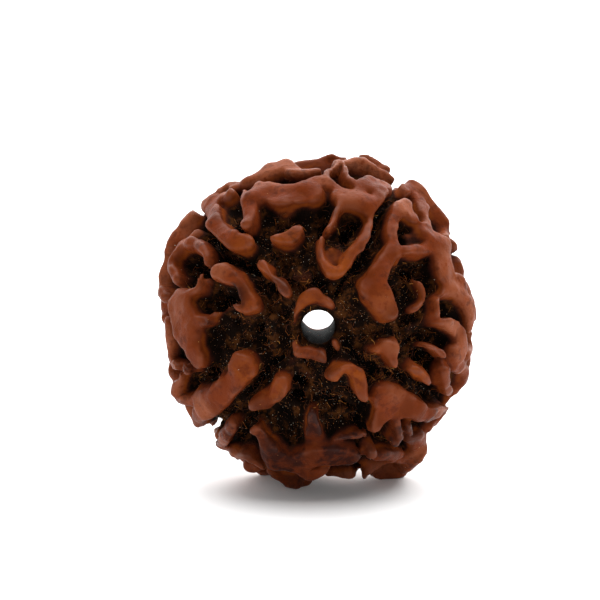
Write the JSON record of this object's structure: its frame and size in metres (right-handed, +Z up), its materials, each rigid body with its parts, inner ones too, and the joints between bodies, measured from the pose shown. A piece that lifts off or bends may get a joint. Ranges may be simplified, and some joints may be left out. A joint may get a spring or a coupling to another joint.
{
  "type": "rudraksha seed",
  "caption": "Round woody seed stone with winding ridges, deep pits, furrows from end to end and a threading hole along its axis.",
  "frame": {"origin": "middle of the seed's box in X and Y, on the surface that the seed rests on", "axes": "+Z up, +Y roughly along the threading hole towards its far end, which dips about 9 degrees, +X to the right seen from the near end"},
  "size_m": [0.02, 0.017, 0.0206],
  "materials": {
    "seed_stone": "waxy reddish brown ridges over near-black pits"
  },
  "bodies": {
    "root": {"seed": "seed_stone"}
  },
  "joints": []
}
